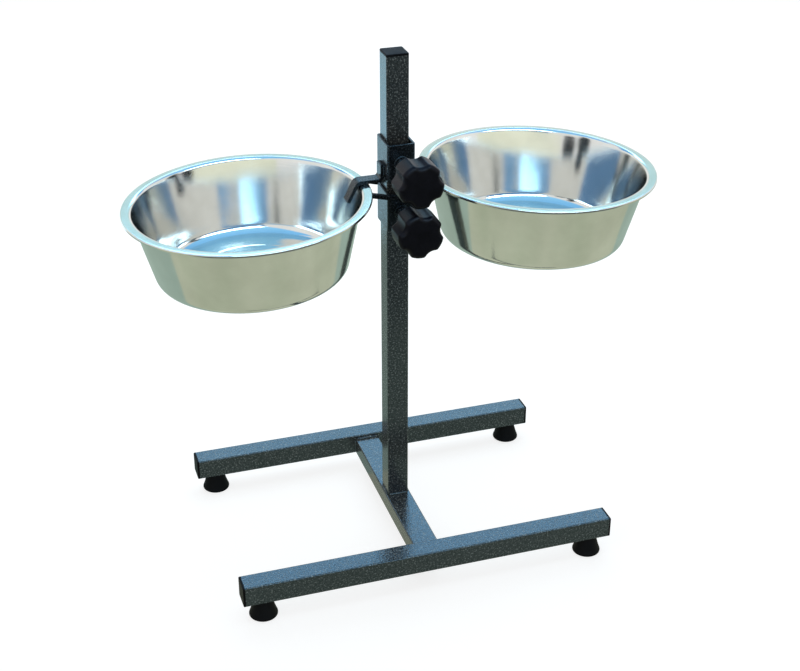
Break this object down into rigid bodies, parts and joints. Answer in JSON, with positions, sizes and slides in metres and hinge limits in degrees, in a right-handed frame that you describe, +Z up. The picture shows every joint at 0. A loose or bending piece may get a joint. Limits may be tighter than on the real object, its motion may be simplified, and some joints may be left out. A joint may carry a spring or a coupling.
{
  "type": "dog feeder stand",
  "caption": "Free-standing feeder stand for dogs: a square-tube post on an H-shaped base, with clamp collars and star knobs that hold steel bowls by their rims at an adjustable height.",
  "frame": {"origin": "on the floor, under the middle of the base and the axis of the post", "axes": "+Z up along the post, +X along the base bars towards the right bowl, -Y towards the clamp knobs"},
  "size_m": [0.5956, 0.2974, 0.59],
  "materials": {
    "frame_paint": "hammered paint, silver grey on dark grey, semi-gloss",
    "clamp_paint": "hammered paint, dark grey, semi-gloss",
    "cap_plastic": "moulded, fine grain",
    "knob_plastic": "moulded, satin",
    "foot_rubber": "moulded, matt",
    "zinc_steel": "bright zinc plate",
    "bowl_steel": "polished stainless steel, faint spinning lines"
  },
  "bodies": {
    "frame": {"front_bar": "frame_paint", "rear_bar": "frame_paint", "cross_member": "frame_paint", "post": "frame_paint", "post_cap": "cap_plastic", "cap_front_left": "cap_plastic", "cap_front_right": "cap_plastic", "cap_rear_left": "cap_plastic", "cap_rear_right": "cap_plastic", "foot_front_left": "foot_rubber", "foot_front_right": "foot_rubber", "foot_rear_left": "foot_rubber", "foot_rear_right": "foot_rubber", "foot_screws": "zinc_steel"},
    "lower_carriage": {"lower_collar": "clamp_paint", "lower_nut": "clamp_paint", "front_support": "clamp_paint", "rear_support": "clamp_paint"},
    "upper_carriage": {"upper_collar": "clamp_paint", "upper_nut": "clamp_paint", "left_hook": "clamp_paint", "right_hook": "clamp_paint"},
    "lower_screw": {"lower_stud": "zinc_steel"},
    "lower_handle": {"lower_knob": "knob_plastic"},
    "upper_screw": {"upper_stud": "zinc_steel"},
    "upper_handle": {"upper_knob": "knob_plastic"},
    "left_bowl": {"left_bowl": "bowl_steel"},
    "right_bowl": {"right_bowl": "bowl_steel"}
  },
  "joints": [
    {"name": "bowl_height", "type": "slide", "parent": "frame", "child": "lower_carriage", "axis": [0, 0, 1], "range_m": [-0.28, 0.05]},
    {"name": "clamp_release", "type": "slide", "parent": "lower_carriage", "child": "upper_carriage", "axis": [0, 0, 1], "range_m": [0, 0.035]},
    {"name": "lower_stud_feed", "type": "slide", "parent": "lower_carriage", "child": "lower_screw", "axis": [0, -1, 0], "range_m": [0, 0.00251]},
    {"name": "lower_knob_turn", "type": "hinge", "parent": "lower_screw", "child": "lower_handle", "pos_m": [0, -0.082, 0.418], "axis": [0, -1, 0], "range_deg": [0, 720]},
    {"name": "upper_stud_feed", "type": "slide", "parent": "upper_carriage", "child": "upper_screw", "axis": [0, -1, 0], "range_m": [0, 0.00251]},
    {"name": "upper_knob_turn", "type": "hinge", "parent": "upper_screw", "child": "upper_handle", "pos_m": [0, -0.082, 0.474], "axis": [0, -1, 0], "range_deg": [0, 720]},
    {"name": "left_bowl_turn", "type": "hinge", "parent": "lower_carriage", "child": "left_bowl", "pos_m": [-0.165, -0.0053, 0.44398], "axis": [-0.0393, 0, 0.9992], "continuous": true},
    {"name": "right_bowl_turn", "type": "hinge", "parent": "lower_carriage", "child": "right_bowl", "pos_m": [0.165, -0.0053, 0.44398], "axis": [0.0393, 0, 0.9992], "continuous": true}
  ],
  "couplings": [
    {"joint": "lower_stud_feed", "follows": "lower_knob_turn", "m_per_rad": 0.00019894},
    {"joint": "upper_stud_feed", "follows": "upper_knob_turn", "m_per_rad": 0.00019894}
  ]
}
